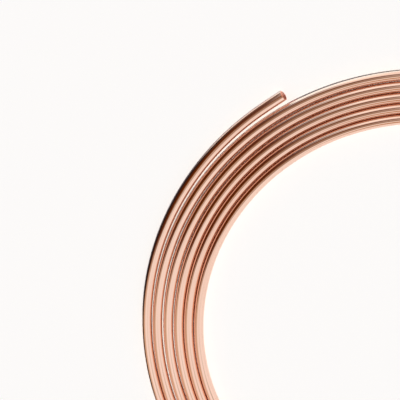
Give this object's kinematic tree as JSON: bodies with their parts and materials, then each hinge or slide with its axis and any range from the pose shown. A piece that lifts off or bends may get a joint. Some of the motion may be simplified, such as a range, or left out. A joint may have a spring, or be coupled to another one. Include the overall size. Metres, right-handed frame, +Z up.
{
  "type": "copper tube coil",
  "caption": "Soft copper tube wound in a flat single-layer spiral, lying on its side with both cut ends open.",
  "frame": {"origin": "middle of the coil's outline, on the floor that it lies on", "axes": "+Z up along the coil's axis, +X the way the outer end opens"},
  "size_m": [0.5126, 0.5204, 0.0095],
  "materials": {
    "copper": "bright drawn copper, polished"
  },
  "bodies": {
    "root": {"copper_tube": "copper"}
  },
  "joints": []
}
